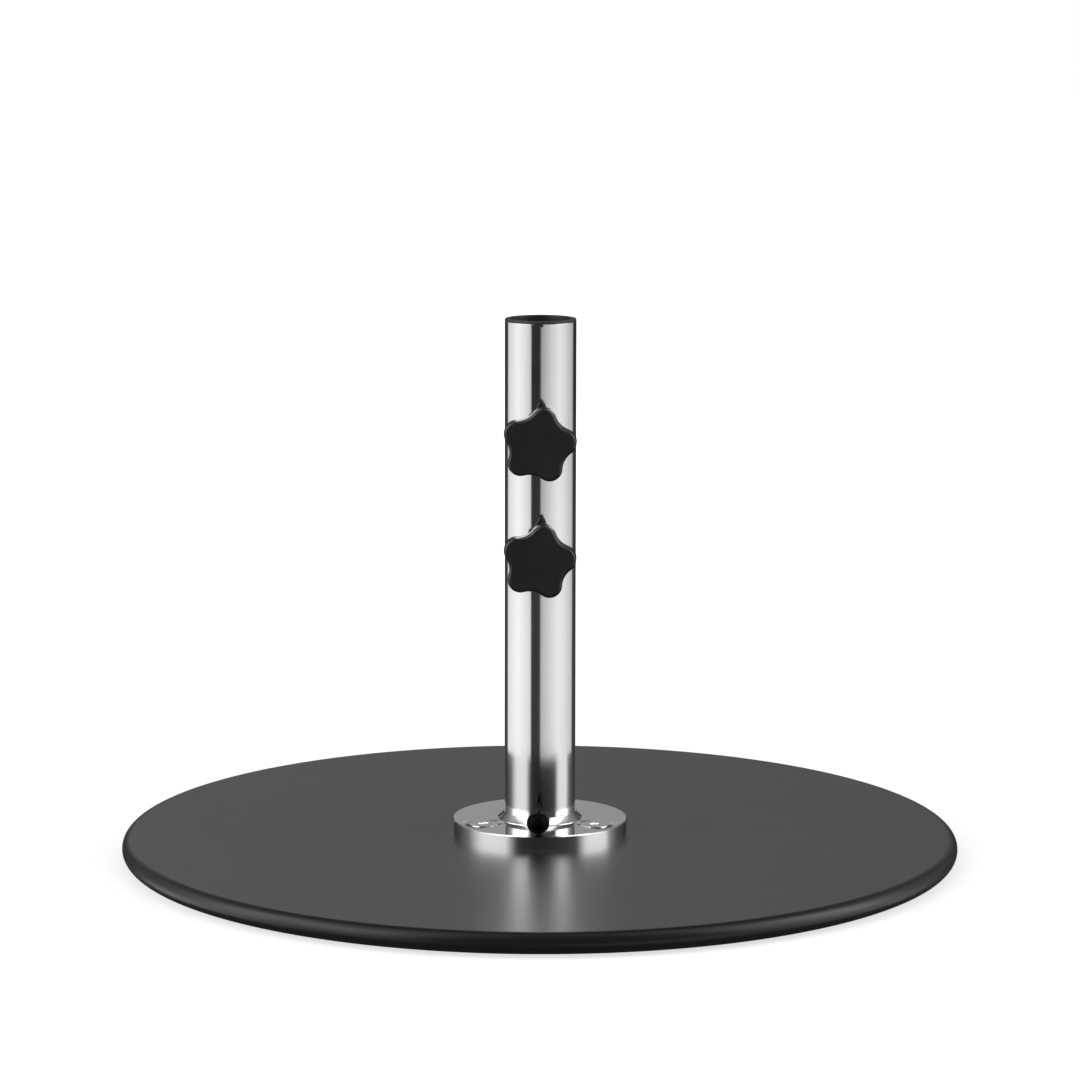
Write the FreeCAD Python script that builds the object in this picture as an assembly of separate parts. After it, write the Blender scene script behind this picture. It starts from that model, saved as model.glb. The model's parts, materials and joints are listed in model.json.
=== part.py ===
import FreeCAD, Part
import math
import os

# Parasol base: a heavy round plate, a flange screwed to it, a tube welded to the flange, and three clamp
# screws that hold the parasol's pole in the tube.
# Millimetres, +Z up. The origin is on the ground, on the tube's axis. The clamp screws point at -Y, the
# front. A "depth" below is a distance from the tube's axis towards the front.

# Plate and its pads
PLATE_RADIUS = 300.0
PLATE_THICKNESS = 15.0
PAD_PROTRUSION = 1.5
PAD_RECESS = 2.5
PAD_RADIUS = 15.0
PAD_EDGE = 0.6
PAD_CIRCLE = 250.0
PAD_COUNT = 6
DRAIN_RADIUS = 6.0

# Flange and its countersunk screws
FLANGE_RADIUS = 63.0
FLANGE_THICKNESS = 9.3
FLANGE_CHAMFER = 0.8
SCREW_CIRCLE = 46.0
SCREW_COUNT = 3
SCREW_THREAD_RADIUS = 5.0
SCREW_HEAD_RADIUS = 9.8
SCREW_HEAD_RIM = 0.5
SCREW_HEAD_PROUD = 0.2
SCREW_HEAD_ROUND = 0.2
SCREW_LENGTH = 19.0
SCREW_END_CHAMFER = 1.0
SCREW_HOLE_RADIUS = 5.5
COUNTERSINK_RADIUS = 10.5
SOCKET_ACROSS_FLATS = 6.0
SOCKET_DEPTH = 4.5
TAPPED_DEPTH = 12.0

# Tube and the weld round its foot
TUBE_RADIUS = 25.4
TUBE_WALL = 2.0
BASE_HEIGHT = 386.5
WELD_RADIUS = 4.8
WELD_TOE = 0.3
WELD_HOLLOW = 0.12

# Plastic liner, foot bush and stop, which centre the pole and carry it
POLE_BORE_RADIUS = 21.0
COLLAR_HEIGHT = 1.9
COLLAR_EDGE = 0.7
LINER_LENGTH = 206.0
LINER_PLAY = 0.1
KEY_WIDTH = 2.0
KEY_HEIGHT = 1.9
KEY_OFFSET = 1.3
KEY_PLAY = 0.1
BUSH_TOP = 62.0
STOP_THICKNESS = 6.0
BUSH_CHAMFER = 1.2

# Star-knob clamp screws
CLAMP_HEIGHTS = {"upper": 302.2, "lower": 219.7}
CLAMP_HOLE_RADIUS = 6.4
BOSS_RADIUS = 9.0
BOSS_END = 36.0
BOSS_CHAMFER = 0.8
BOSS_COUNTERBORE_END = 28.4
BOSS_WELD = 1.8
BOSS_ROOT = 2.0
THREAD_PLAY = 0.05
STUD_RADIUS = 5.0
STUD_CHAMFER = 0.8
STUD_END = 50.5
KNOB_BACK = 41.0
KNOB_FACE = 55.0
KNOB_TIP_RADIUS = 26.6
KNOB_VALLEY_RADIUS = 20.9
KNOB_LOBE_RADIUS = 9.0
KNOB_LOBES = 5
KNOB_FIRST_LOBE = 79.6
KNOB_FRONT_ROUND = 2.5
KNOB_BACK_ROUND = 1.5
INSERT_RADIUS = 7.0
INSERT_END = 52.0
PAD_TIP = 21.5
PAD_LENGTH = 5.0
PAD_TIP_RADIUS = 6.0
PAD_TIP_EDGE = 0.8
PAD_FLOOR = 2.2
JOURNAL_RADIUS = 3.0
JOURNAL_BEAD_RADIUS = 3.5
JOURNAL_BEAD_LENGTH = 0.8

# Ball-knob locking screw at the tube's foot
BALL_RADIUS = 8.0
BALL_DEPTH = 57.0
BALL_ABOVE_FLANGE = 8.3
BALL_FLAT_RADIUS = 4.0
LOCK_RADIUS = 2.5
LOCK_CHAMFER = 0.4
LOCK_END = 58.0
LOCK_START = 22.2
LOCK_COLLAR_RADIUS = 4.5
LOCK_COLLAR_START = 21.3
BUSH_LOCK_HOLE = 5.0
TIP_START = 21.4
TIP_RADIUS = 1.2
TIP_BEAD_RADIUS = 1.6
TIP_BEAD_LENGTH = 1.0
LIP_LENGTH = 0.8

# Gaps between pieces that turn or slide against each other
RUNNING_PLAY = 0.05
END_PLAY = 0.3

# How far cutting shapes run past the faces that they cut
OVERRUN = 1.0
DEEP_OVERRUN = 5.0

# Heights worked out from the sizes above
PLATE_BOTTOM = PAD_PROTRUSION
PLATE_TOP = PLATE_BOTTOM + PLATE_THICKNESS
FLANGE_TOP = PLATE_TOP + FLANGE_THICKNESS
STOP_TOP = PLATE_TOP + STOP_THICKNESS
TUBE_TOP = BASE_HEIGHT - COLLAR_HEIGHT
LOCK_HEIGHT = FLANGE_TOP + BALL_ABOVE_FLANGE
TUBE_INNER = TUBE_RADIUS - TUBE_WALL
LINER_RADIUS = TUBE_INNER - LINER_PLAY


def vector(x, y, z):
    return FreeCAD.Vector(x, y, z)


def line(start, end):
    return Part.LineSegment(start, end).toShape()


def arc(start, middle, end):
    return Part.Arc(start, middle, end).toShape()


def upright(radius, bottom, top, x=0.0, y=0.0):
    """A cylinder along Z."""
    return Part.makeCylinder(radius, top - bottom, vector(x, y, bottom), vector(0, 0, 1))


def forward(radius, inner, outer, height):
    """A cylinder along the front direction, from one depth to another."""
    return Part.makeCylinder(radius, outer - inner, vector(0, -inner, height), vector(0, -1, 0))


def turned(edges):
    """The closed outline of the edges, in the XZ plane, turned about Z."""
    face = Part.Face(Part.Wire(Part.__sortEdges__(edges)))
    return face.revolve(vector(0, 0, 0), vector(0, 0, 1), 360)


def turned_outline(points):
    """A straight-sided outline of (radius, height) points, turned about Z."""
    corners = [vector(radius, 0, height) for radius, height in points]
    wire = Part.makePolygon(corners + [corners[0]])
    return Part.Face(wire).revolve(vector(0, 0, 0), vector(0, 0, 1), 360)


def turned_forward(points, height):
    """A straight-sided outline of (radius, depth) points, turned about the screw axis at a height."""
    corners = [vector(0, -depth, height + radius) for radius, depth in points]
    wire = Part.makePolygon(corners + [corners[0]])
    return Part.Face(wire).revolve(vector(0, 0, height), vector(0, 1, 0), 360)


def around(count, circle, first_angle):
    """Evenly spaced (x, y) points on a circle about the axis."""
    spots = []
    for index in range(count):
        angle = math.radians(first_angle + 360.0 * index / count)
        spots.append((circle * math.cos(angle), circle * math.sin(angle)))
    return spots


def pad_spots():
    return around(PAD_COUNT, PAD_CIRCLE, 0.0)


def screw_spots():
    """Two screws beside the front and one at the back."""
    return around(SCREW_COUNT, SCREW_CIRCLE, 90.0)


def base_plate():
    """A solid disc whose rim is a full half-round."""
    round_radius = PLATE_THICKNESS / 2
    middle = PLATE_BOTTOM + round_radius
    inner = PLATE_RADIUS - round_radius
    outline = [
        line(vector(0, 0, PLATE_BOTTOM), vector(inner, 0, PLATE_BOTTOM)),
        arc(vector(inner, 0, PLATE_BOTTOM), vector(PLATE_RADIUS, 0, middle), vector(inner, 0, PLATE_TOP)),
        line(vector(inner, 0, PLATE_TOP), vector(0, 0, PLATE_TOP)),
        line(vector(0, 0, PLATE_TOP), vector(0, 0, PLATE_BOTTOM)),
    ]
    plate = turned(outline)
    cuts = [upright(DRAIN_RADIUS, 0, PLATE_TOP + OVERRUN)]
    for x, y in pad_spots():
        cuts.append(upright(PAD_RADIUS, 0, PLATE_BOTTOM + PAD_RECESS, x, y))
    for x, y in screw_spots():
        cuts.append(upright(SCREW_THREAD_RADIUS, PLATE_TOP - TAPPED_DEPTH, PLATE_TOP + OVERRUN, x, y))
    return plate.cut(cuts)


def foot_pads():
    """Rubber discs in the plate's recesses, with a broken lower edge."""
    pads = []
    for x, y in pad_spots():
        pad = upright(PAD_RADIUS, 0, PLATE_BOTTOM + PAD_RECESS, x, y)
        lower_edges = [edge for edge in pad.Edges if edge.BoundBox.ZMax < PAD_EDGE / 2]
        pads.append(pad.makeChamfer(PAD_EDGE, lower_edges))
    return Part.makeCompound(pads)


def plate_flange():
    """A ring with a chamfered upper edge and countersunk screw holes."""
    ring = turned_outline([
        (TUBE_RADIUS, PLATE_TOP),
        (FLANGE_RADIUS, PLATE_TOP),
        (FLANGE_RADIUS, FLANGE_TOP - FLANGE_CHAMFER),
        (FLANGE_RADIUS - FLANGE_CHAMFER, FLANGE_TOP),
        (TUBE_RADIUS, FLANGE_TOP),
    ])
    sink = COUNTERSINK_RADIUS - SCREW_HOLE_RADIUS
    cuts = []
    for x, y in screw_spots():
        cuts.append(upright(SCREW_HOLE_RADIUS, PLATE_TOP - OVERRUN, FLANGE_TOP + OVERRUN, x, y))
        cone_start = vector(x, y, FLANGE_TOP - sink)
        cuts.append(Part.makeCone(SCREW_HOLE_RADIUS, COUNTERSINK_RADIUS, sink, cone_start, vector(0, 0, 1)))
    return ring.cut(cuts)


def flange_screw():
    """A countersunk screw with a hexagon socket and a broken edge round its head, upright on the axis."""
    top = FLANGE_TOP + SCREW_HEAD_PROUD
    rim_bottom = top - SCREW_HEAD_RIM
    cone_bottom = rim_bottom - (SCREW_HEAD_RADIUS - SCREW_THREAD_RADIUS)
    end = top - SCREW_LENGTH
    body = turned_outline([
        (0, end),
        (SCREW_THREAD_RADIUS - SCREW_END_CHAMFER, end),
        (SCREW_THREAD_RADIUS, end + SCREW_END_CHAMFER),
        (SCREW_THREAD_RADIUS, cone_bottom),
        (SCREW_HEAD_RADIUS, rim_bottom),
        (SCREW_HEAD_RADIUS, top - SCREW_HEAD_ROUND),
        (SCREW_HEAD_RADIUS - SCREW_HEAD_ROUND, top),
        (0, top),
    ])
    corner_radius = SOCKET_ACROSS_FLATS / 2 / math.cos(math.radians(30))
    corners = [vector(x, y, top - SOCKET_DEPTH) for x, y in around(6, corner_radius, 0.0)]
    hexagon = Part.Face(Part.makePolygon(corners + [corners[0]]))
    return body.cut(hexagon.extrude(vector(0, 0, SOCKET_DEPTH + OVERRUN)))


def flange_screws():
    screws = []
    for x, y in screw_spots():
        screw = flange_screw()
        screw.translate(vector(x, y, 0))
        screws.append(screw)
    return Part.makeCompound(screws)


def key_block(play):
    """The locating key under the liner's collar, grown by a play on its sides and bottom."""
    width = KEY_WIDTH + 2 * play
    height = KEY_HEIGHT + play
    corner = vector(KEY_OFFSET - width / 2, -TUBE_RADIUS - OVERRUN, TUBE_TOP - height)
    return Part.makeBox(width, TUBE_RADIUS + OVERRUN - LINER_RADIUS + TUBE_WALL / 2, height, corner)


def stand_tube():
    """The tube, with its key notch, clamp holes and the flow-drilled collar of the locking screw."""
    bore = upright(TUBE_INNER, PLATE_TOP - OVERRUN, TUBE_TOP + OVERRUN)
    tube = upright(TUBE_RADIUS, PLATE_TOP, TUBE_TOP).cut(bore)
    collar = forward(LOCK_COLLAR_RADIUS, LOCK_COLLAR_START, TUBE_INNER + TUBE_WALL / 2, LOCK_HEIGHT)
    thread_start = LOCK_COLLAR_START - OVERRUN
    cuts = [forward(LOCK_RADIUS + THREAD_PLAY, thread_start, TUBE_RADIUS + OVERRUN, LOCK_HEIGHT)]
    cuts.append(key_block(KEY_PLAY))
    for height in CLAMP_HEIGHTS.values():
        cuts.append(forward(CLAMP_HOLE_RADIUS, TUBE_INNER - DEEP_OVERRUN, TUBE_RADIUS + OVERRUN, height))
    return tube.fuse(collar).cut(cuts)


def foot_weld():
    """A ring with a slightly hollow face between the tube's wall and the flange."""
    toe_radius = TUBE_RADIUS + WELD_RADIUS
    toe_top = FLANGE_TOP + WELD_TOE
    crown = TUBE_RADIUS + WELD_TOE
    crown_top = FLANGE_TOP + WELD_RADIUS
    sag = WELD_HOLLOW / math.sqrt(2)
    outline = [
        line(vector(TUBE_RADIUS, 0, FLANGE_TOP), vector(toe_radius, 0, FLANGE_TOP)),
        line(vector(toe_radius, 0, FLANGE_TOP), vector(toe_radius, 0, toe_top)),
        arc(
            vector(toe_radius, 0, toe_top),
            vector((toe_radius + crown) / 2 - sag, 0, (toe_top + crown_top) / 2 - sag),
            vector(crown, 0, crown_top),
        ),
        line(vector(crown, 0, crown_top), vector(TUBE_RADIUS, 0, crown_top)),
        line(vector(TUBE_RADIUS, 0, crown_top), vector(TUBE_RADIUS, 0, FLANGE_TOP)),
    ]
    return turned(outline)


def pole_liner():
    """The sleeve in the tube's upper part, its collar over the tube's end, and its key."""
    bottom = BASE_HEIGHT - LINER_LENGTH
    sleeve = turned_outline([
        (POLE_BORE_RADIUS, bottom),
        (LINER_RADIUS, bottom),
        (LINER_RADIUS, TUBE_TOP),
        (TUBE_RADIUS, TUBE_TOP),
        (TUBE_RADIUS, BASE_HEIGHT - COLLAR_EDGE),
        (TUBE_RADIUS - COLLAR_EDGE, BASE_HEIGHT),
        (POLE_BORE_RADIUS + COLLAR_EDGE, BASE_HEIGHT),
        (POLE_BORE_RADIUS, BASE_HEIGHT - COLLAR_EDGE),
    ])
    key = key_block(0).common(upright(TUBE_RADIUS, bottom, BASE_HEIGHT))
    key = key.cut(upright(POLE_BORE_RADIUS + COLLAR_EDGE, bottom, BASE_HEIGHT))
    holes = []
    for height in CLAMP_HEIGHTS.values():
        holes.append(forward(CLAMP_HOLE_RADIUS, POLE_BORE_RADIUS - DEEP_OVERRUN, TUBE_RADIUS, height))
    return sleeve.fuse(key).cut(holes).removeSplitter()


def pole_stop():
    """A disc on the plate inside the tube's foot, with a drain, that the pole stands on."""
    disc = upright(LINER_RADIUS, PLATE_TOP, STOP_TOP)
    return disc.cut(upright(DRAIN_RADIUS, PLATE_TOP - OVERRUN, STOP_TOP + OVERRUN))


def foot_bush():
    """A sleeve above the stop that centres the pole's foot, with room for the locking screw."""
    sleeve = turned_outline([
        (POLE_BORE_RADIUS, STOP_TOP),
        (LINER_RADIUS, STOP_TOP),
        (LINER_RADIUS, BUSH_TOP),
        (POLE_BORE_RADIUS + BUSH_CHAMFER, BUSH_TOP),
        (POLE_BORE_RADIUS, BUSH_TOP - BUSH_CHAMFER),
    ])
    return sleeve.cut(forward(BUSH_LOCK_HOLE, POLE_BORE_RADIUS - DEEP_OVERRUN, TUBE_RADIUS, LOCK_HEIGHT))


def boss_blank(height):
    """The boss before its holes, from inside the tube's wall to its outer end."""
    return turned_forward([
        (0, TUBE_INNER),
        (BOSS_RADIUS, TUBE_INNER - BOSS_ROOT),
        (BOSS_RADIUS, BOSS_END - BOSS_CHAMFER),
        (BOSS_RADIUS - BOSS_CHAMFER, BOSS_END),
        (0, BOSS_END),
    ], height)


def tube_core(height):
    """A solid stretch of tube as long as a boss needs."""
    reach = 2 * BOSS_RADIUS
    return upright(TUBE_RADIUS, height - reach, height + reach)


def clamp_boss(height):
    """A threaded boss saddled on the tube, counterbored for the pressure pad."""
    thread = forward(STUD_RADIUS + THREAD_PLAY, 0, BOSS_END + OVERRUN, height)
    counterbore = forward(CLAMP_HOLE_RADIUS, 0, BOSS_COUNTERBORE_END, height)
    return boss_blank(height).cut([tube_core(height), thread, counterbore])


def boss_weld(height):
    """The flat-faced bead that runs round a boss on the tube's surface."""
    joined = tube_core(height).fuse(boss_blank(height)).removeSplitter()
    seam = []
    for edge in joined.Edges:
        box = edge.BoundBox
        on_wall = box.YMin > -TUBE_RADIUS - OVERRUN / 2 and box.YMax < 0
        if on_wall and box.ZLength > BOSS_RADIUS and box.XLength < TUBE_RADIUS:
            seam.append(edge)
    return joined.makeChamfer(BOSS_WELD, seam).cut(joined)


def boss_welds():
    beads = [boss_weld(height) for height in CLAMP_HEIGHTS.values()]
    return Part.makeCompound(beads)


def knob_point(radius, degrees, depth, height):
    """A point at a radius and an angle in a plane across the screw axis; 90 degrees is up."""
    angle = math.radians(degrees)
    return vector(radius * math.cos(angle), -depth, height + radius * math.sin(angle))


def star_outline(depth, height):
    """A closed star of round lobes and hollow valleys that run into each other without corners."""
    half_pitch = 180.0 / KNOB_LOBES
    lobe_circle = KNOB_TIP_RADIUS - KNOB_LOBE_RADIUS
    cosine = math.cos(math.radians(half_pitch))
    over = KNOB_LOBE_RADIUS**2 - lobe_circle**2 - KNOB_VALLEY_RADIUS**2
    over = over + 2 * lobe_circle * KNOB_VALLEY_RADIUS * cosine
    valley_round = over / (2 * (KNOB_VALLEY_RADIUS - lobe_circle * cosine - KNOB_LOBE_RADIUS))
    share = KNOB_LOBE_RADIUS / (KNOB_LOBE_RADIUS + valley_round)
    edges = []
    for index in range(KNOB_LOBES):
        lobe_angle = KNOB_FIRST_LOBE + 2 * half_pitch * index
        lobe = knob_point(lobe_circle, lobe_angle, depth, height)
        before = knob_point(KNOB_VALLEY_RADIUS + valley_round, lobe_angle - half_pitch, depth, height)
        after = knob_point(KNOB_VALLEY_RADIUS + valley_round, lobe_angle + half_pitch, depth, height)
        following = knob_point(lobe_circle, lobe_angle + 2 * half_pitch, depth, height)
        tip = knob_point(KNOB_TIP_RADIUS, lobe_angle, depth, height)
        valley = knob_point(KNOB_VALLEY_RADIUS, lobe_angle + half_pitch, depth, height)
        lobe_start = lobe + (before - lobe) * share
        lobe_end = lobe + (after - lobe) * share
        next_start = following + (after - following) * share
        edges.append(arc(lobe_start, tip, lobe_end))
        edges.append(arc(lobe_end, valley, next_start))
    return Part.Wire(edges)


def knob_head(height):
    """A five-lobed head, rounded at its face and its back, hollow for its insert."""
    face = Part.Face(star_outline(KNOB_BACK, height))
    head = face.extrude(vector(0, KNOB_BACK - KNOB_FACE, 0))
    front = [edge for edge in head.Edges if edge.BoundBox.YMax < -KNOB_FACE + 0.1]
    head = head.makeFillet(KNOB_FRONT_ROUND, front)
    back = [edge for edge in head.Edges if edge.BoundBox.YMin > -KNOB_BACK - 0.1]
    head = head.makeFillet(KNOB_BACK_ROUND, back)
    return head.cut(forward(INSERT_RADIUS, KNOB_BACK - OVERRUN, INSERT_END, height))


def knob_insert(height):
    """A blind brass bush moulded into the head."""
    blank = forward(INSERT_RADIUS, KNOB_BACK, INSERT_END, height)
    return blank.cut(forward(STUD_RADIUS, KNOB_BACK - OVERRUN, STUD_END, height))


def clamp_stud(height):
    """A threaded rod whose tip is a journal with a bead that the pad snaps over."""
    shoulder = PAD_TIP + PAD_LENGTH + END_PLAY
    tip = PAD_TIP + PAD_FLOOR + END_PLAY
    bead_start = tip + END_PLAY
    bead_end = bead_start + JOURNAL_BEAD_LENGTH
    return turned_forward([
        (0, tip),
        (JOURNAL_RADIUS, tip),
        (JOURNAL_RADIUS, bead_start),
        (JOURNAL_BEAD_RADIUS, bead_start),
        (JOURNAL_BEAD_RADIUS, bead_end),
        (JOURNAL_RADIUS, bead_end),
        (JOURNAL_RADIUS, shoulder),
        (STUD_RADIUS - STUD_CHAMFER, shoulder),
        (STUD_RADIUS, shoulder + STUD_CHAMFER),
        (STUD_RADIUS, STUD_END),
        (0, STUD_END),
    ], height)


def clamp_pad(height):
    """A plastic pressure pad: a cup that turns on the stud's journal."""
    floor = PAD_TIP + PAD_FLOOR
    groove_end = floor + 3 * END_PLAY + JOURNAL_BEAD_LENGTH
    back = PAD_TIP + PAD_LENGTH
    return turned_forward([
        (0, PAD_TIP),
        (PAD_TIP_RADIUS - PAD_TIP_EDGE, PAD_TIP),
        (PAD_TIP_RADIUS, PAD_TIP + PAD_TIP_EDGE),
        (PAD_TIP_RADIUS, back),
        (JOURNAL_RADIUS + RUNNING_PLAY, back),
        (JOURNAL_RADIUS + RUNNING_PLAY, groove_end),
        (JOURNAL_BEAD_RADIUS + RUNNING_PLAY, groove_end),
        (JOURNAL_BEAD_RADIUS + RUNNING_PLAY, floor),
        (0, floor),
    ], height)


def ball_knob():
    """A ball with a small flat at the back and a blind hole for its stud."""
    ball = Part.makeSphere(BALL_RADIUS, vector(0, -BALL_DEPTH, LOCK_HEIGHT))
    flat_depth = BALL_DEPTH - math.sqrt(BALL_RADIUS**2 - BALL_FLAT_RADIUS**2)
    behind = BALL_DEPTH - BALL_RADIUS - OVERRUN
    behind_flat = forward(BALL_RADIUS, behind, flat_depth, LOCK_HEIGHT)
    hole = forward(LOCK_RADIUS, behind, LOCK_END, LOCK_HEIGHT)
    return ball.cut([behind_flat, hole])


def ball_stud():
    """A thin threaded rod with a lipped pocket in its end for the swivelling tip."""
    pocket_start = LOCK_START + LIP_LENGTH
    pocket_end = pocket_start + TIP_BEAD_LENGTH + 2 * END_PLAY
    return turned_forward([
        (TIP_RADIUS + RUNNING_PLAY, LOCK_START),
        (LOCK_RADIUS - LOCK_CHAMFER, LOCK_START),
        (LOCK_RADIUS, LOCK_START + LOCK_CHAMFER),
        (LOCK_RADIUS, LOCK_END),
        (0, LOCK_END),
        (0, pocket_end),
        (TIP_BEAD_RADIUS + RUNNING_PLAY, pocket_end),
        (TIP_BEAD_RADIUS + RUNNING_PLAY, pocket_start),
        (TIP_RADIUS + RUNNING_PLAY, pocket_start),
    ], LOCK_HEIGHT)


def ball_tip():
    """The swivelling tip: a neck through the stud's lip and a bead behind it."""
    bead_start = LOCK_START + LIP_LENGTH + END_PLAY
    return turned_forward([
        (0, TIP_START),
        (TIP_RADIUS - END_PLAY, TIP_START),
        (TIP_RADIUS, TIP_START + END_PLAY),
        (TIP_RADIUS, bead_start),
        (TIP_BEAD_RADIUS, bead_start),
        (TIP_BEAD_RADIUS, bead_start + TIP_BEAD_LENGTH),
        (0, bead_start + TIP_BEAD_LENGTH),
    ], LOCK_HEIGHT)


def all_pieces():
    pieces = {
        "base_plate": base_plate(),
        "foot_pads": foot_pads(),
        "plate_flange": plate_flange(),
        "flange_screws": flange_screws(),
        "stand_tube": stand_tube(),
        "foot_weld": foot_weld(),
        "pole_liner": pole_liner(),
        "foot_bush": foot_bush(),
        "pole_stop": pole_stop(),
        "boss_welds": boss_welds(),
        "ball_knob": ball_knob(),
        "ball_stud": ball_stud(),
        "ball_tip": ball_tip(),
    }
    for place, height in CLAMP_HEIGHTS.items():
        pieces[place + "_boss"] = clamp_boss(height)
        pieces[place + "_knob"] = knob_head(height)
        pieces[place + "_insert"] = knob_insert(height)
        pieces[place + "_stud"] = clamp_stud(height)
        pieces[place + "_pad"] = clamp_pad(height)
    return pieces


os.makedirs("parts", exist_ok=True)
for node, shape in all_pieces().items():
    if not shape.isValid():
        raise ValueError(node + " is not a valid solid")
    shape.exportStep("parts/" + node + ".step")
    print(node, len(shape.Solids), "solids", round(shape.Volume / 1000.0, 2), "cm3")
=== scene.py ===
import json
import math

import bmesh
import bpy
from mathutils import Matrix, Vector


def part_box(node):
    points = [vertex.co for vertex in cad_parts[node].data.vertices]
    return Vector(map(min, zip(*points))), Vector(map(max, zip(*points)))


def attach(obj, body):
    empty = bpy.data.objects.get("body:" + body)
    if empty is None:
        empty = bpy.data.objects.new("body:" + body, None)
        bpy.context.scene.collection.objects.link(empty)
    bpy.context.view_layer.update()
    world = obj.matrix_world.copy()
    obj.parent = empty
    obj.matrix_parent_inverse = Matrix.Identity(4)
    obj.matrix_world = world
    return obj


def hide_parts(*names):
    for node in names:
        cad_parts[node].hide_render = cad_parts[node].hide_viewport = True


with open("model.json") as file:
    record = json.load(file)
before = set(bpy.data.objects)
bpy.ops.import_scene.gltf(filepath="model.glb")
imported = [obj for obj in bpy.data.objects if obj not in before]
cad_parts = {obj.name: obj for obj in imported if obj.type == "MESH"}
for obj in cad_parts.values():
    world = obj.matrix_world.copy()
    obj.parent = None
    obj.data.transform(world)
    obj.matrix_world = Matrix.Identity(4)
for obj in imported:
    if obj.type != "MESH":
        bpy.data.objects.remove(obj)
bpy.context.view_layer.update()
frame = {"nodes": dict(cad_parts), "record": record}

# Parasol base: round plate, polished flange and tube, two star-knob clamp screws and a ball-knob screw.
# Metres, in the frame's axes: +Z up, the clamp screws towards -Y. A "depth" is a distance from the tube's
# axis towards -Y.

MM = 0.001

# Places read from the frame
PLATE_LOW, PLATE_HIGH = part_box("base_plate")
FLANGE_LOW, FLANGE_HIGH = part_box("plate_flange")
TUBE_LOW, TUBE_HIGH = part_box("stand_tube")
WELD_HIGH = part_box("foot_weld")[1]
LINER_LOW, LINER_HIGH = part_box("pole_liner")
PADS_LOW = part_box("foot_pads")[0]
SCREWS_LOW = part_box("flange_screws")[0]
BALL_LOW, BALL_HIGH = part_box("ball_knob")
BALL_STUD_LOW, BALL_STUD_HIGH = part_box("ball_stud")

PLATE_RADIUS = min(-PLATE_LOW.x, PLATE_HIGH.y)
PLATE_TOP = PLATE_HIGH.z
PLATE_BOTTOM = PLATE_LOW.z
FLANGE_RADIUS = min(-FLANGE_LOW.x, FLANGE_HIGH.y)
FLANGE_TOP = FLANGE_HIGH.z
TUBE_RADIUS = min(-TUBE_LOW.x, TUBE_HIGH.y)
TUBE_TOP = TUBE_HIGH.z
WELD_RADIUS = WELD_HIGH.x
WELD_TOP = WELD_HIGH.z
BASE_TOP = LINER_HIGH.z
LINER_BOTTOM = LINER_LOW.z
LOCK_HEIGHT = (BALL_LOW.z + BALL_HIGH.z) / 2
BALL_RADIUS = (BALL_HIGH.z - BALL_LOW.z) / 2
BALL_FRONT = -BALL_LOW.y
BALL_BACK = -BALL_HIGH.y
CLAMP_PLACES = ("upper", "lower")

# Sizes that the frame's boxes don't give. First the plate and its rubber pads
DRAIN_RADIUS = 6 * MM
RECESS_DEPTH = 2.5 * MM
TAPPED_DEPTH = 12 * MM
PAD_RADIUS = 15 * MM
PAD_PLAY = 0.02 * MM
PAD_CIRCLE = 250 * MM
PAD_COUNT = 6
PAD_GROOVES = (4 * MM, 8 * MM)
PAD_GROOVE_DEPTH = 0.5 * MM

# Flange and countersunk screws. The first screw's place and the sockets' turns are in degrees
FLANGE_CHAMFER = 0.8 * MM
SCREW_COUNT = 3
SCREW_CIRCLE = 46 * MM
FIRST_SCREW = 90
SCREW_HOLE_RADIUS = 5.5 * MM
COUNTERSINK_RADIUS = 10.5 * MM
SCREW_HEAD_RADIUS = 10.45 * MM
SCREW_HEAD_RIM = 0.2 * MM
SCREW_PROUD = 0.12 * MM
SCREW_RADIUS = 5 * MM
SOCKET_FLATS = 6 * MM
SOCKET_BEVEL = 0.5 * MM
SOCKET_DEPTH = 1.4 * MM
FIRST_SOCKET_TURN = 24
SOCKET_TURN_STEP = 7

# Tube, liner, key and the weld round the tube's foot
TUBE_WALL = 2 * MM
TUBE_INNER = TUBE_RADIUS - TUBE_WALL
POLE_BORE = 21 * MM
CLAMP_HOLE_RADIUS = 6.4 * MM
WELD_TOE = 0.3 * MM
WELD_HOLLOW = 0.12 * MM
KEY_OFFSET = 1.3 * MM
KEY_WIDTH = 2 * MM
KEY_HEIGHT = 1.9 * MM
KEY_PLAY = 0.1 * MM

# Cutters: the depths between which they pass the tube's front wall, and how far they go beyond a face
FRONT_WALL = (0.01, 0.03)
CUT_BEYOND = 0.01

# Star heads and their inserts. The first lobe's angle is in degrees
STAR_TIP = 26.6 * MM
STAR_VALLEY = 20.9 * MM
STAR_LOBE = 9 * MM
STAR_LOBES = 5
STAR_FIRST_LOBE = 79.6
STAR_FRONT_ROUND = 2.5 * MM
STAR_BACK_ROUND = 1.5 * MM
INSERT_RADIUS = 7 * MM
INSERT_DEPTH = 11 * MM

# Threads. THREAD_CREST is the share of the pitch that is flat at the crest, and again at the root
M10_PITCH = 1.5 * MM
M10_THREAD_DEPTH = 0.92 * MM
M5_PITCH = 0.8 * MM
M5_THREAD_DEPTH = 0.49 * MM
THREAD_CREST = 0.12

# The clamp stud's neck, as (radius, distance from the tip) in millimetres, and the ball stud's blunt tip
STUD_NECK = ((3.0, 0.0), (3.0, 0.3), (3.5, 0.35), (3.5, 1.05), (3.0, 1.1), (3.0, 2.8))
BALL_STUD_TIP = 1.3 * MM

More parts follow.
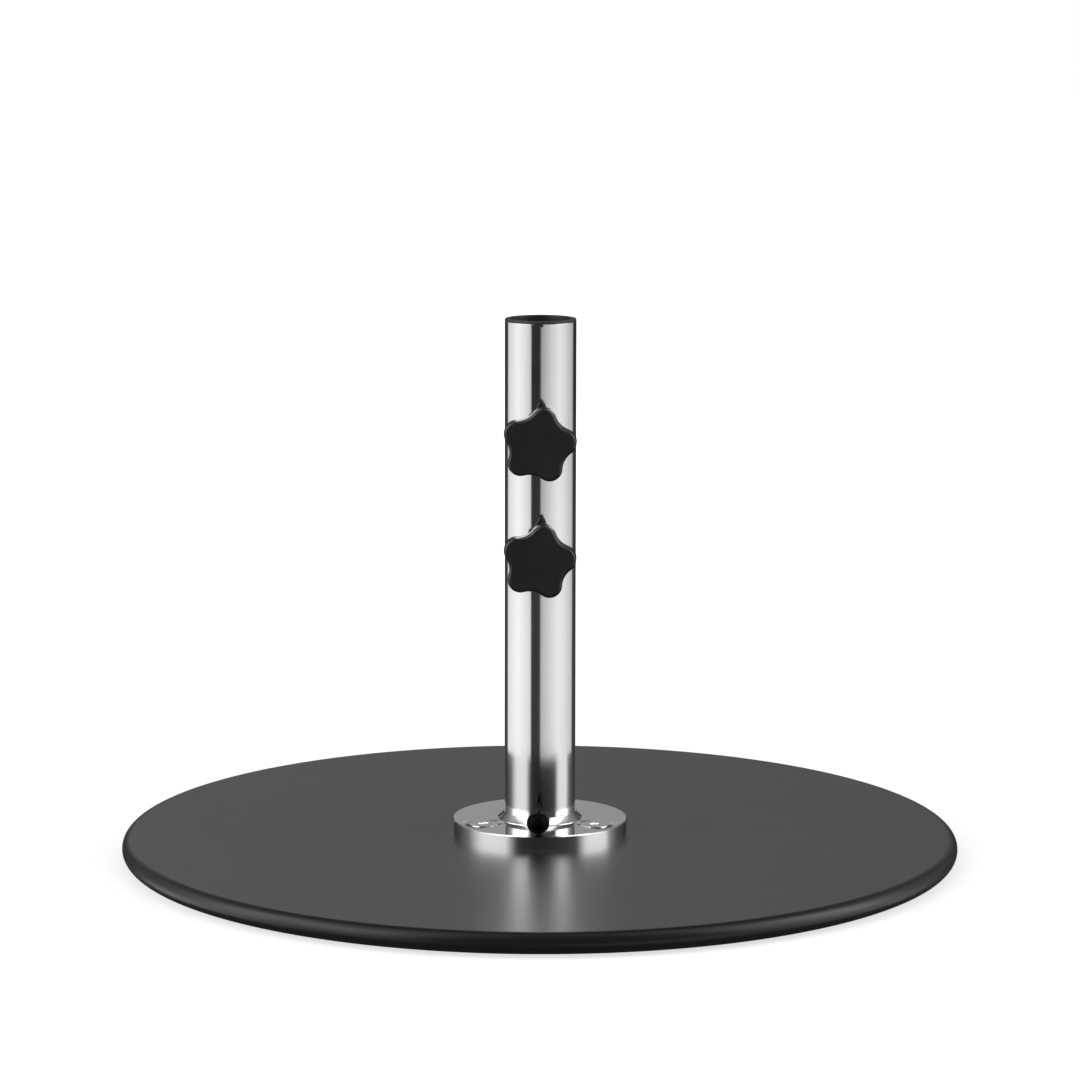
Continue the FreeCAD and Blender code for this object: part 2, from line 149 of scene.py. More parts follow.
# The camera's place, as a distance and a turn about the tube's axis and a height over the floor. The angles
# are in radians, the lens and its sensor in millimetres.
CAMERA_DISTANCE = 2.809
CAMERA_HEIGHT = 0.6695
CAMERA_AZIMUTH = math.radians(1.3)
CAMERA_PITCH = 0.156
CAMERA_ROLL = 0.0016
CAMERA_LENS = 132.9
CAMERA_SENSOR = 36
CAMERA_SHIFT = -0.0003


def clamp_height(place):
    """Height of a clamp screw's axis."""
    low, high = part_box(place + "_stud")
    return (low.z + high.z) / 2


# ---------------------------------------------------------------- meshes


def softened(corners, steps=6):
    """A closed outline of (radius, height, rounding) corners, with each corner turned into an arc."""
    points = []
    count = len(corners)
    for index, (radius, height, rounding) in enumerate(corners):
        corner = Vector((radius, height))
        if rounding <= 0:
            points.append(corner)
            continue
        before = Vector(corners[index - 1][:2]) - corner
        after = Vector(corners[(index + 1) % count][:2]) - corner
        before.normalize()
        after.normalize()
        half = before.angle(after) / 2
        centre = corner + (before + after).normalized() * (rounding / math.sin(half))
        start = corner + before * (rounding / math.tan(half)) - centre
        end = corner + after * (rounding / math.tan(half)) - centre
        sweep = start.angle_signed(end)
        for step in range(steps + 1):
            turn = Matrix.Rotation(-sweep * step / steps, 2)
            points.append(centre + turn @ start)
    return points


def upright_point(radius, angle, height):
    """A point about the tube's axis."""
    return Vector((radius * math.cos(angle), radius * math.sin(angle), height))


def forward_point(height):
    """Points about a screw axis that runs towards the front at a height."""

    def place(radius, angle, depth):
        return Vector((radius * math.cos(angle), -depth, height + radius * math.sin(angle)))

    return place


def lathe(outline, segments, place=upright_point):
    """A closed outline of (radius, height) points turned about an axis into a bmesh."""
    bm = bmesh.new()
    rings = []
    for radius, height in outline:
        if radius < 1e-7:
            rings.append([bm.verts.new(place(0, 0, height))])
        else:
            angles = [2 * math.pi * step / segments for step in range(segments)]
            rings.append([bm.verts.new(place(radius, angle, height)) for angle in angles])
    for index, ring in enumerate(rings):
        following = rings[(index + 1) % len(rings)]
        if len(ring) == 1 and len(following) == 1:
            continue
        for step in range(segments):
            beside = (step + 1) % segments
            if len(ring) == 1:
                bm.faces.new((ring[0], following[beside], following[step]))
            elif len(following) == 1:
                bm.faces.new((ring[step], ring[beside], following[0]))
            else:
                bm.faces.new((ring[step], ring[beside], following[beside], following[step]))
    bmesh.ops.recalc_face_normals(bm, faces=bm.faces)
    return bm


def object_from(name, bm, sharp_degrees=32.0):
    mesh = bpy.data.meshes.new(name)
    bm.to_mesh(mesh)
    bm.free()
    mesh.shade_smooth()
    mesh.set_sharp_from_angle(angle=math.radians(sharp_degrees))
    piece = bpy.data.objects.new(name, mesh)
    bpy.context.scene.collection.objects.link(piece)
    return piece


def weigh_normals(piece):
    """Large faces keep their own normals, so that flat polish stays flat beside a rounded edge."""
    modifier = piece.modifiers.new("weighted_normals", "WEIGHTED_NORMAL")
    modifier.weight = 100
    modifier.keep_sharp = True


def carve(piece, cutters, sharp_degrees=32.0):
    """Takes the cutters, a list of bmeshes, out of the piece."""
    tools = []
    for bm in cutters:
        tool = object_from("cutter", bm)
        modifier = piece.modifiers.new("cut", "BOOLEAN")
        modifier.operation = "DIFFERENCE"
        modifier.solver = "EXACT"
        modifier.object = tool
        tools.append(tool)
    graph = bpy.context.evaluated_depsgraph_get()
    carved = bpy.data.meshes.new_from_object(piece.evaluated_get(graph))
    piece.modifiers.clear()
    old = piece.data
    piece.data = carved
    carved.name = piece.name
    bpy.data.meshes.remove(old)
    for tool in tools:
        mesh = tool.data
        bpy.data.objects.remove(tool)
        bpy.data.meshes.remove(mesh)
    carved.shade_smooth()
    carved.set_sharp_from_angle(angle=math.radians(sharp_degrees))


def round_walls(piece, radii):
    """Gives faces that lie on an upright wall of one of the radii that wall's exact normals."""
    mesh = piece.data
    normals = []
    for face in mesh.polygons:
        upright = abs(face.normal.z) < 0.2
        middle = Vector((face.center.x, face.center.y, 0))
        on_wall = False
        for radius in radii:
            if upright and abs(middle.length - radius) < 0.15 * MM:
                on_wall = abs(face.normal.dot(middle.normalized())) > 0.95
        for loop in face.loop_indices:
            point = mesh.vertices[mesh.loops[loop].vertex_index].co
            if on_wall:
                outward = Vector((point.x, point.y, 0)).normalized()
                normals.append(outward if face.normal.dot(outward) > 0 else -outward)
            else:
                normals.append(mesh.corner_normals[loop].vector.copy())
    mesh.normals_split_custom_set(normals)


def box_mesh(low, high):
    """A box between two corners."""
    bm = bmesh.new()
    size = Vector(high) - Vector(low)
    middle = (Vector(high) + Vector(low)) / 2
    bmesh.ops.create_cube(bm, size=1.0, matrix=Matrix.Translation(middle) @ Matrix.Diagonal((*size, 1)))
    return bm


def rod(radius, low, high, segments, place=upright_point):
    """A cylinder about an axis, from low to high along it."""
    return lathe([(0, low), (radius, low), (radius, high), (0, high)], segments, place)


def shifted(bm, x, y):
    bmesh.ops.translate(bm, verts=bm.verts, vec=(x, y, 0))
    return bm


def around(count, circle, first_degrees):
    """(x, y) places evenly round a circle about the tube's axis."""
    spots = []
    for index in range(count):
        angle = math.radians(first_degrees + 360.0 * index / count)
        spots.append((circle * math.cos(angle), circle * math.sin(angle)))
    return spots


def join(bms):
    """One bmesh from several."""
    whole = bmesh.new()
    for bm in bms:
        part = bpy.data.meshes.new("part")
        bm.to_mesh(part)
        bm.free()
        whole.from_mesh(part)
        bpy.data.meshes.remove(part)
    return whole


# ---------------------------------------------------------------- materials


def new_material(name, colour, metallic, roughness):
    material = bpy.data.materials.new(name)
    material.use_nodes = True
    shader = material.node_tree.nodes["Principled BSDF"]
    shader.inputs["Base Color"].default_value = (*colour, 1)
    shader.inputs["Metallic"].default_value = metallic
    shader.inputs["Roughness"].default_value = roughness
    return material, shader


def add_node(material, kind, **inputs):
    node = material.node_tree.nodes.new(kind)
    for name, value in inputs.items():
        node.inputs[name.replace("_", " ")].default_value = value
    return node


def object_space(material, stretch=(1, 1, 1)):
    """Object coordinates, in metres, stretched along the axes."""
    coordinates = add_node(material, "ShaderNodeTexCoord")
    mapping = add_node(material, "ShaderNodeMapping")
    mapping.inputs["Scale"].default_value = stretch
    material.node_tree.links.new(coordinates.outputs["Object"], mapping.inputs["Vector"])
    return mapping.outputs["Vector"]


def noise(material, scale, detail=3.0, stretch=(1, 1, 1)):
    texture = add_node(material, "ShaderNodeTexNoise", Scale=scale, Detail=detail)
    material.node_tree.links.new(object_space(material, stretch), texture.inputs["Vector"])
    return texture.outputs["Fac"]


def spread(material, source, low, high, source_low=0.3, source_high=0.7):
    """The source's usual range mapped to low and high."""
    node = add_node(material, "ShaderNodeMapRange")
    for socket, value in zip(node.inputs[1:5], (source_low, source_high, low, high)):
        socket.default_value = value
    material.node_tree.links.new(source, node.inputs["Value"])
    return node.outputs["Result"]


def tint(material, shader, source, dark, light):
    """Base colour that varies between two colours with the source."""
    ramp = add_node(material, "ShaderNodeValToRGB")
    ramp.color_ramp.elements[0].position = 0.3
    ramp.color_ramp.elements[0].color = (*dark, 1)
    ramp.color_ramp.elements[1].position = 0.7
    ramp.color_ramp.elements[1].color = (*light, 1)
    material.node_tree.links.new(source, ramp.inputs["Fac"])
    material.node_tree.links.new(ramp.outputs["Color"], shader.inputs["Base Color"])


def bump(material, shader, source, strength, distance):
    node = add_node(material, "ShaderNodeBump", Strength=strength, Distance=distance)
    links = material.node_tree.links
    links.new(source, node.inputs["Height"])
    previous = shader.inputs["Normal"]
    if previous.is_linked:
        links.new(previous.links[0].from_socket, node.inputs["Normal"])
    links.new(node.outputs["Normal"], previous)


def vary_roughness(material, shader, source, low, high):
    result = spread(material, source, low, high)
    material.node_tree.links.new(result, shader.inputs["Roughness"])


def powder_coat():
    """Satin black powder coat that shines at a low angle: fine orange peel, and slow changes in sheen."""
    head_on, at_low_angle = 0.2, 1.0
    material, shader = new_material("powder_coat", (0.006, 0.006, 0.006), 0.0, 0.55)
    shader.inputs["Specular IOR Level"].default_value = 0.05
    shader.inputs["Coat Roughness"].default_value = 0.3
    shader.inputs["Coat IOR"].default_value = 2.0
    facing = add_node(material, "ShaderNodeLayerWeight", Blend=0.5)
    sheen = spread(material, facing.outputs["Facing"], head_on, at_low_angle, 0.2, 0.65)
    material.node_tree.links.new(sheen, shader.inputs["Coat Weight"])
    blotches = noise(material, 9.0)
    tint(material, shader, blotches, (0.0055, 0.0055, 0.0057), (0.0065, 0.0065, 0.0067))
    vary_roughness(material, shader, noise(material, 30.0, 5.0), 0.52, 0.58)
    orange_peel = noise(material, 420.0, 2.0)
    bump(material, shader, orange_peel, 0.12, 0.0002)
    powder_grain = noise(material, 2600.0, 2.0)
    bump(material, shader, powder_grain, 0.05, 0.00005)
    return material


def mirror_steel(name, stretch):
    """Mirror-polished steel with faint polishing lines along one direction and slight haze."""
    material, shader = new_material(name, (0.86, 0.86, 0.87), 1.0, 0.1)
    tint(material, shader, noise(material, 14.0), (0.84, 0.84, 0.85), (0.88, 0.88, 0.885))
    vary_roughness(material, shader, noise(material, 60.0, 6.0), 0.08, 0.12)
    bump(material, shader, noise(material, 900.0, 3.0, stretch), 0.02, 0.00002)
    return material


def turned_steel(name, colour):
    """Machined and plated steel, slightly mottled."""
    material, shader = new_material(name, colour, 1.0, 0.26)
    dark = tuple(0.87 * value for value in colour)
    light = tuple(1.1 * value for value in colour)
    tint(material, shader, noise(material, 160.0, 4.0), dark, light)
    vary_roughness(material, shader, noise(material, 500.0, 4.0), 0.2, 0.34)
    bump(material, shader, noise(material, 3000.0, 2.0), 0.1, 0.00003)
    return material


def turned_brass():
    material, shader = new_material("turned_brass", (0.72, 0.53, 0.25), 1.0, 0.25)
    tint(material, shader, noise(material, 120.0, 4.0), (0.62, 0.45, 0.2), (0.76, 0.57, 0.29))
    vary_roughness(material, shader, noise(material, 400.0, 4.0), 0.2, 0.32)
    bump(material, shader, noise(material, 2500.0, 2.0, (1, 0.1, 1)), 0.1, 0.00003)
    return material


def moulded_plastic(name, colour, roughness, grain, gloss=0.5):
    """Moulded plastic with a fine eroded grain and slight changes in sheen."""
    material, shader = new_material(name, colour, 0.0, roughness)
    shader.inputs["Specular IOR Level"].default_value = gloss
    dark = tuple(0.85 * value for value in colour)
    light = tuple(1.15 * value for value in colour)
    tint(material, shader, noise(material, 60.0, 4.0), dark, light)
    vary_roughness(material, shader, noise(material, 140.0, 5.0), roughness - 0.04, roughness + 0.05)
    bump(material, shader, noise(material, 2200.0, 3.0), grain, 0.00004)
    return material


def foot_rubber():
    material, shader = new_material("foot_rubber", (0.018, 0.018, 0.018), 0.0, 0.7)
    tint(material, shader, noise(material, 90.0, 4.0), (0.014, 0.014, 0.014), (0.024, 0.024, 0.024))
    vary_roughness(material, shader, noise(material, 300.0, 4.0), 0.62, 0.8)
    bump(material, shader, noise(material, 1500.0, 4.0), 0.3, 0.0001)
    return material


MATERIALS = {
    "plate_coat": powder_coat(),
    "pad_rubber": foot_rubber(),
    "polished_steel": mirror_steel("mirror_steel", (0.02, 0.02, 1)),
    "screw_steel": mirror_steel("screw_steel", (1, 1, 0.1)),
    "liner_plastic": moulded_plastic("liner_plastic", (0.02, 0.02, 0.02), 0.45, 0.15),
    "knob_plastic": moulded_plastic("knob_plastic", (0.009, 0.009, 0.009), 0.3, 0.06),
    "ball_plastic": moulded_plastic("ball_plastic", (0.001, 0.001, 0.001), 0.5, 0.05, 0.05),
    "insert_brass": turned_brass(),
    "stud_steel": turned_steel("zinc_steel", (0.6, 0.6, 0.61)),
    "black_steel": turned_steel("black_oxide_steel", (0.025, 0.025, 0.027)),
    "pad_plastic": moulded_plastic("pad_plastic", (0.62, 0.6, 0.55), 0.45, 0.1),
}


def finish_piece(piece, slot, body, *nodes):
    """The piece gets its slot's material, rides on its body and stands for its CAD nodes."""
    piece.data.materials.clear()
    piece.data.materials.append(MATERIALS[slot])
    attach(piece, body)
    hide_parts(*nodes)


# ---------------------------------------------------------------- the stand


def make_plate():
    """The disc with its half-round rim, drain, pad recesses and tapped holes."""
    rim = (PLATE_TOP - PLATE_BOTTOM) / 2
    steps = 24
    outline = [(DRAIN_RADIUS, PLATE_TOP), (DRAIN_RADIUS, PLATE_BOTTOM)]
    for step in range(steps + 1):
        angle = -math.pi / 2 + math.pi * step / steps
        reach = PLATE_RADIUS - rim + rim * math.cos(angle)
        outline.append((reach, PLATE_BOTTOM + rim + rim * math.sin(angle)))
    plate = object_from("round_plate", lathe(outline, 384))
    cutters = []
    for x, y in around(PAD_COUNT, PAD_CIRCLE, 0):
        cutters.append(shifted(rod(PAD_RADIUS, -CUT_BEYOND, PLATE_BOTTOM + RECESS_DEPTH, 96), x, y))
    for x, y in around(SCREW_COUNT, SCREW_CIRCLE, FIRST_SCREW):
        hole = rod(SCREW_RADIUS, PLATE_TOP - TAPPED_DEPTH, PLATE_TOP + CUT_BEYOND, 48)
        cutters.append(shifted(hole, x, y))
    carve(plate, cutters)
    weigh_normals(plate)
    finish_piece(plate, "plate_coat", "stand", "base_plate")


def make_pads():
    """Rubber pads with moulded rings on their lower faces."""
    top = PLATE_BOTTOM + RECESS_DEPTH
    low = PADS_LOW.z
    outline = [(0, top, 0), (0, low, 0)]
    for groove in PAD_GROOVES:
        outline.append((groove, low, 0))
        outline.append((groove + 0.4 * MM, low + PAD_GROOVE_DEPTH, 0))
        outline.append((groove + 1.2 * MM, low + PAD_GROOVE_DEPTH, 0))
        outline.append((groove + 1.6 * MM, low, 0))
    outline.append((PAD_RADIUS - PAD_PLAY, low, 0.6 * MM))
    outline.append((PAD_RADIUS - PAD_PLAY, top, 0))
    bms = []
    for x, y in around(PAD_COUNT, PAD_CIRCLE, 0):
        bms.append(shifted(lathe(softened(outline), 72), x, y))
    pads = object_from("rubber_pads", join(bms))
    finish_piece(pads, "pad_rubber", "stand", "foot_pads")


def make_flange():
    """The polished ring with its bright chamfer and countersinks."""
    outline = softened([
        (TUBE_RADIUS, PLATE_TOP, 0),
        (FLANGE_RADIUS, PLATE_TOP, 0),
        (FLANGE_RADIUS, FLANGE_TOP - FLANGE_CHAMFER, 0.2 * MM),
        (FLANGE_RADIUS - FLANGE_CHAMFER, FLANGE_TOP, 0.2 * MM),
        (TUBE_RADIUS, FLANGE_TOP, 0),
    ], 4)
    flange = object_from("polished_flange", lathe(outline, 288), 50.0)
    depth = COUNTERSINK_RADIUS - SCREW_HOLE_RADIUS
    above = 1 * MM
    hole = [
        (0, PLATE_TOP - above),
        (SCREW_HOLE_RADIUS, PLATE_TOP - above),
        (SCREW_HOLE_RADIUS, FLANGE_TOP - depth),
        (COUNTERSINK_RADIUS + above, FLANGE_TOP + above),
        (0, FLANGE_TOP + above),
    ]
    places = around(SCREW_COUNT, SCREW_CIRCLE, FIRST_SCREW)
    cutters = [shifted(lathe(hole, 96), x, y) for x, y in places]
    carve(flange, cutters, 50.0)
    weigh_normals(flange)
    finish_piece(flange, "polished_steel", "stand", "plate_flange")


def make_flange_screws():
    """Countersunk screws with hexagon sockets, each stopped at its own angle."""
    top = FLANGE_TOP + SCREW_PROUD
    cone = SCREW_HEAD_RADIUS - SCREW_RADIUS
    outline = softened([
        (0, SCREWS_LOW.z, 0),
        (SCREW_RADIUS, SCREWS_LOW.z, 1 * MM),
        (SCREW_RADIUS, top - SCREW_HEAD_RIM - cone, 0.4 * MM),
        (SCREW_HEAD_RADIUS, top - SCREW_HEAD_RIM, 0),
        (SCREW_HEAD_RADIUS, top, 0.12 * MM),
        (0, top, 0),
    ], 4)
    corner = SOCKET_FLATS / math.sqrt(3)
    above = 1 * MM
    socket = [
        (0, top - SOCKET_DEPTH),
        (corner, top - SOCKET_DEPTH),
        (corner, top - SOCKET_BEVEL),
        (corner + SOCKET_BEVEL, top),
        (corner + SOCKET_BEVEL, top + above),
        (0, top + above),
    ]
    bms = []
    for index, (x, y) in enumerate(around(SCREW_COUNT, SCREW_CIRCLE, FIRST_SCREW)):
        screw = object_from("screw", lathe(outline, 96))
        hexagon = lathe(socket, 6)
        turn = math.radians(FIRST_SOCKET_TURN + SOCKET_TURN_STEP * index)
        bmesh.ops.rotate(hexagon, verts=hexagon.verts, matrix=Matrix.Rotation(turn, 3, "Z"))
        carve(screw, [hexagon])
        bm = bmesh.new()
        bm.from_mesh(screw.data)
        bms.append(shifted(bm, x, y))
        mesh = screw.data
        bpy.data.objects.remove(screw)
        bpy.data.meshes.remove(mesh)
    screws = object_from("countersunk_screws", join(bms))
    weigh_normals(screws)
    finish_piece(screws, "screw_steel", "stand", "flange_screws")


def clamp_holes():
    """Rods through the front wall of the tube and liner, where the pressure pads pass."""
    return [
        rod(CLAMP_HOLE_RADIUS, *FRONT_WALL, 64, forward_point(clamp_height(place))) for place in CLAMP_PLACES
    ]


def make_tube():
    """The polished tube with its key notch and screw holes."""
    outline = softened([
        (TUBE_INNER, PLATE_TOP, 0),
        (TUBE_RADIUS, PLATE_TOP, 0),
        (TUBE_RADIUS, TUBE_TOP, 0.15 * MM),
        (TUBE_INNER, TUBE_TOP, 0.15 * MM),
    ], 3)
    tube = object_from("polished_tube", lathe(outline, 256))
    half = KEY_WIDTH / 2 + KEY_PLAY
    beyond = 2 * MM
    notch_low = (KEY_OFFSET - half, -TUBE_RADIUS - beyond, TUBE_TOP - KEY_HEIGHT - KEY_PLAY)
    notch_high = (KEY_OFFSET + half, -TUBE_INNER + beyond, TUBE_TOP + beyond)
    cutters = [box_mesh(notch_low, notch_high)]
    cutters.extend(clamp_holes())
    lock_radius = BALL_STUD_HIGH.x + 0.05 * MM
    cutters.append(rod(lock_radius, *FRONT_WALL, 48, forward_point(LOCK_HEIGHT)))
    carve(tube, cutters)
    round_walls(tube, (TUBE_RADIUS, TUBE_INNER))
    finish_piece(tube, "polished_steel", "stand", "stand_tube")


def make_weld():
    """The weld ring round the tube's foot, with a slightly hollow face."""
    steps = 16
    leg = WELD_RADIUS - TUBE_RADIUS - WELD_TOE
    outline = [(TUBE_RADIUS, WELD_TOP), (TUBE_RADIUS, FLANGE_TOP), (WELD_RADIUS, FLANGE_TOP)]
    for step in range(steps + 1):
        share = step / steps
        sag = WELD_HOLLOW * 4 * share * (1 - share) / math.sqrt(2)
        outline.append((WELD_RADIUS - leg * share - sag, FLANGE_TOP + WELD_TOE + leg * share - sag))
    weld = object_from("foot_weld_ring", lathe(outline, 256), 20.0)
    finish_piece(weld, "polished_steel", "stand", "foot_weld")


def make_liner():
    """The black sleeve with its collar and locating key."""
    sleeve = TUBE_INNER - 0.1 * MM
    outline = softened([
        (POLE_BORE, LINER_BOTTOM, 0.3 * MM),
        (sleeve, LINER_BOTTOM, 0.3 * MM),
        (sleeve, TUBE_TOP, 0),
        (TUBE_RADIUS, TUBE_TOP, 0.1 * MM),
        (TUBE_RADIUS, BASE_TOP, 0.7 * MM),
        (POLE_BORE, BASE_TOP, 0.7 * MM),
    ])
    liner = object_from("liner_sleeve", lathe(outline, 192))
    carve(liner, clamp_holes())
    round_walls(liner, (sleeve, POLE_BORE, TUBE_RADIUS))
    finish_piece(liner, "liner_plastic", "stand", "pole_liner")
    key = object_from("liner_key", key_mesh())
    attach(key, "stand")
    key.data.materials.append(MATERIALS["liner_plastic"])


def key_mesh():
    """A small block under the collar whose outer face follows the tube's wall."""
    bm = bmesh.new()
    half = KEY_WIDTH / 2
    columns = 5
    rows = []
    for height in (TUBE_TOP - KEY_HEIGHT, TUBE_TOP):
        outer = []
        inner = []
        for step in range(columns):
            x = KEY_OFFSET - half + KEY_WIDTH * step / (columns - 1)
            outer.append(bm.verts.new((x, -math.sqrt(TUBE_RADIUS**2 - x * x), height)))
            inner.append(bm.verts.new((x, -TUBE_INNER + 0.3 * MM, height)))
        rows.append(outer + inner[::-1])
    count = len(rows[0])
    for step in range(count):
        beside = (step + 1) % count
        bm.faces.new((rows[0][step], rows[0][beside], rows[1][beside], rows[1][step]))
    bm.faces.new(rows[0])
    bm.faces.new(rows[1])
    bmesh.ops.recalc_face_normals(bm, faces=bm.faces)
    return bm


# ---------------------------------------------------------------- the clamp screws


def star_outline(steps):
    """(point, outward normal) pairs round a star of lobe and valley arcs that are tangent to each other."""
    half_pitch = math.pi / STAR_LOBES
    lobe_circle = STAR_TIP - STAR_LOBE
    cosine = math.cos(half_pitch)
    over = STAR_LOBE**2 - lobe_circle**2 - STAR_VALLEY**2 + 2 * lobe_circle * STAR_VALLEY * cosine
    valley_round = over / (2 * (STAR_VALLEY - lobe_circle * cosine - STAR_LOBE))
    pairs = []
    for index in range(STAR_LOBES):
        lobe_angle = math.radians(STAR_FIRST_LOBE) + 2 * half_pitch * index
        lobe = Vector((math.cos(lobe_angle), math.sin(lobe_angle))) * lobe_circle
        valley_angle = lobe_angle + half_pitch
        valley = Vector((math.cos(valley_angle), math.sin(valley_angle))) * (STAR_VALLEY + valley_round)
        join_way = (valley - lobe).normalized()
        tip_way = lobe.normalized()
        swing = tip_way.angle(join_way)
        for step in range(-steps, steps):
            angle = lobe_angle + swing * step / steps
            normal = Vector((math.cos(angle), math.sin(angle)))
            pairs.append((lobe + normal * STAR_LOBE, normal))
        inward = -valley.normalized()
        valley_swing = inward.angle(-join_way)
        for step in range(-steps, steps):
            angle = valley_angle + math.pi - valley_swing * step / steps
            normal = -Vector((math.cos(angle), math.sin(angle)))
            pairs.append((valley - normal * valley_round, normal))
    return pairs


def make_knob(place):
    """A star head with a rounded face edge and back edge, hollow for its insert."""
    low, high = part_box(place + "_knob")
    face, back = -low.y, -high.y
    height = clamp_height(place)
    steps = 8
    angles = [math.pi / 2 * step / steps for step in range(steps + 1)]
    profile = []
    for angle in angles:
        inset = STAR_BACK_ROUND * (1 - math.sin(angle))
        profile.append((inset, back + STAR_BACK_ROUND * (1 - math.cos(angle))))
    for angle in angles:
        inset = STAR_FRONT_ROUND * (1 - math.cos(angle))
        profile.append((inset, face - STAR_FRONT_ROUND * (1 - math.sin(angle))))
    outline = star_outline(12)
    bm = bmesh.new()
    rings = []
    for inset, depth in profile:
        ring = []
        for point, normal in outline:
            flat = point - normal * inset
            ring.append(bm.verts.new((flat.x, -depth, height + flat.y)))
        rings.append(ring)
    count = len(outline)
    for ring, following in zip(rings, rings[1:]):
        for step in range(count):
            beside = (step + 1) % count
            bm.faces.new((ring[step], ring[beside], following[beside], following[step]))
    bm.faces.new(rings[-1])
    bm.faces.new(rings[0])
    bmesh.ops.recalc_face_normals(bm, faces=bm.faces)
    knob = object_from(place + "_star_knob", bm)
    behind = 5 * MM
    carve(knob, [rod(INSERT_RADIUS, back - behind, back + INSERT_DEPTH, 64, forward_point(height))])
    weigh_normals(knob)
    finish_piece(knob, "knob_plastic", place + "_clamp", place + "_knob")


def threaded(name, height, plain, start, end, radius, pitch, depth):
    """A rod with plain (radius, depth) points first and then a right-hand thread from start to end."""
    segments = 64
    per_pitch = 12
    rows = round((end - start) / pitch * per_pitch)
    at = forward_point(height)
    bm = bmesh.new()
    rings = []

    def add_ring(radii, place):
        angles = [2 * math.pi * step / segments for step in range(segments)]
        rings.append([bm.verts.new(at(reach, angle, place)) for reach, angle in zip(radii, angles)])

    for plain_radius, plain_depth in plain:
        add_ring([plain_radius] * segments, plain_depth)
    for row in range(rows + 1):
        along = start + (end - start) * row / rows
        fade = min(1.0, (along - start) / pitch)
        crest = radius - (1 - fade) * depth * 0.5
        radii = []
        for step in range(segments):
            phase = ((along - start) / pitch - step / segments) % 1.0
            flank = (1 - abs(2 * phase - 1) - THREAD_CREST) / (1 - 2 * THREAD_CREST)
            groove = min(1.0, max(0.0, flank))
            radii.append(crest - depth * groove * (0.5 + 0.5 * fade))
        add_ring(radii, along)
    for ring, following in zip(rings, rings[1:]):
        for step in range(segments):
            beside = (step + 1) % segments
            bm.faces.new((ring[step], ring[beside], following[beside], following[step]))
    bm.faces.new(rings[0])
    bm.faces.new(rings[-1])
    bmesh.ops.recalc_face_normals(bm, faces=bm.faces)
    return object_from(name, bm, 40.0)


def make_stud(place):
    """The M10 stud: neck with a snap bead in the pad, then thread up into the insert."""
    low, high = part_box(place + "_stud")
    tip, end = -high.y, -low.y
    neck = [(radius * MM, tip + depth * MM) for radius, depth in STUD_NECK]
    shoulder = neck[-1][1]
    stud = threaded(
        place + "_threaded_stud", clamp_height(place), neck, shoulder, end,
        high.x, M10_PITCH, M10_THREAD_DEPTH,
    )
    finish_piece(stud, "stud_steel", place + "_clamp", place + "_stud")


# ---------------------------------------------------------------- the ball-knob screw


def make_ball():
    """The ball with a flat at its back and a hole for the stud."""
    centre = BALL_FRONT - BALL_RADIUS
    flat_angle = math.acos((centre - BALL_BACK) / BALL_RADIUS)
    steps = 48
    stud = BALL_STUD_HIGH.x
    hole_end = -BALL_STUD_LOW.y
    outline = [(0, hole_end), (stud, hole_end), (stud, BALL_BACK)]
    for step in range(steps + 1):
        angle = flat_angle + (math.pi - flat_angle) * step / steps
        radius = 0.0 if step == steps else BALL_RADIUS * math.sin(angle)
        outline.append((radius, centre - BALL_RADIUS * math.cos(angle)))
    ball = object_from("ball_handle", lathe(outline, 96, forward_point(LOCK_HEIGHT)), 40.0)
    finish_piece(ball, "ball_plastic", "ball_screw", "ball_knob")


def make_ball_stud():
    """The M5 stud with a blunt, narrowed tip."""
    tip, end = -BALL_STUD_HIGH.y, -BALL_STUD_LOW.y
    blunt = [(BALL_STUD_TIP, tip)]
    stud = threaded(
        "ball_threaded_stud", LOCK_HEIGHT, blunt, tip + 0.01 * MM, end,
        BALL_STUD_HIGH.x, M5_PITCH, M5_THREAD_DEPTH,
    )
    finish_piece(stud, "black_steel", "ball_screw", "ball_stud")


def finish_cad_nodes():
    """The CAD nodes that stay get the material of their slot."""
    slots = {entry["node"]: entry["material_slot"] for entry in frame["record"]["subparts"]}
    for name, node in frame["nodes"].items():
        if not node.hide_render:
            for slot in node.material_slots:
                slot.material = MATERIALS[slots[name]]


# ---------------------------------------------------------------- the studio


FLOOR_SIZE = 12.0
FLOOR_GLOW = 0.7
FLOOR_FADE = (0.4, 1.2)


def make_floor():
    """A pale floor that runs out to white, and that polished surfaces don't show."""
    bm = bmesh.new()
    bmesh.ops.create_grid(bm, x_segments=1, y_segments=1, size=FLOOR_SIZE)
    floor = object_from("studio_floor", bm)
    material, shader = new_material("floor_paint", (0.3, 0.3, 0.3), 0.0, 0.9)
    shader.inputs["Specular IOR Level"].default_value = 0.0
    shader.inputs["Emission Color"].default_value = (1, 1, 1, 1)
    distance = add_node(material, "ShaderNodeVectorMath")
    distance.operation = "LENGTH"
    material.node_tree.links.new(object_space(material), distance.inputs[0])
    glow = spread(material, distance.outputs["Value"], FLOOR_GLOW, 1.0, *FLOOR_FADE)
    material.node_tree.links.new(glow, shader.inputs["Emission Strength"])
    tint(material, shader, noise(material, 2.0), (0.29, 0.29, 0.29), (0.31, 0.31, 0.31))
    floor.data.materials.append(material)
    floor.visible_glossy = False


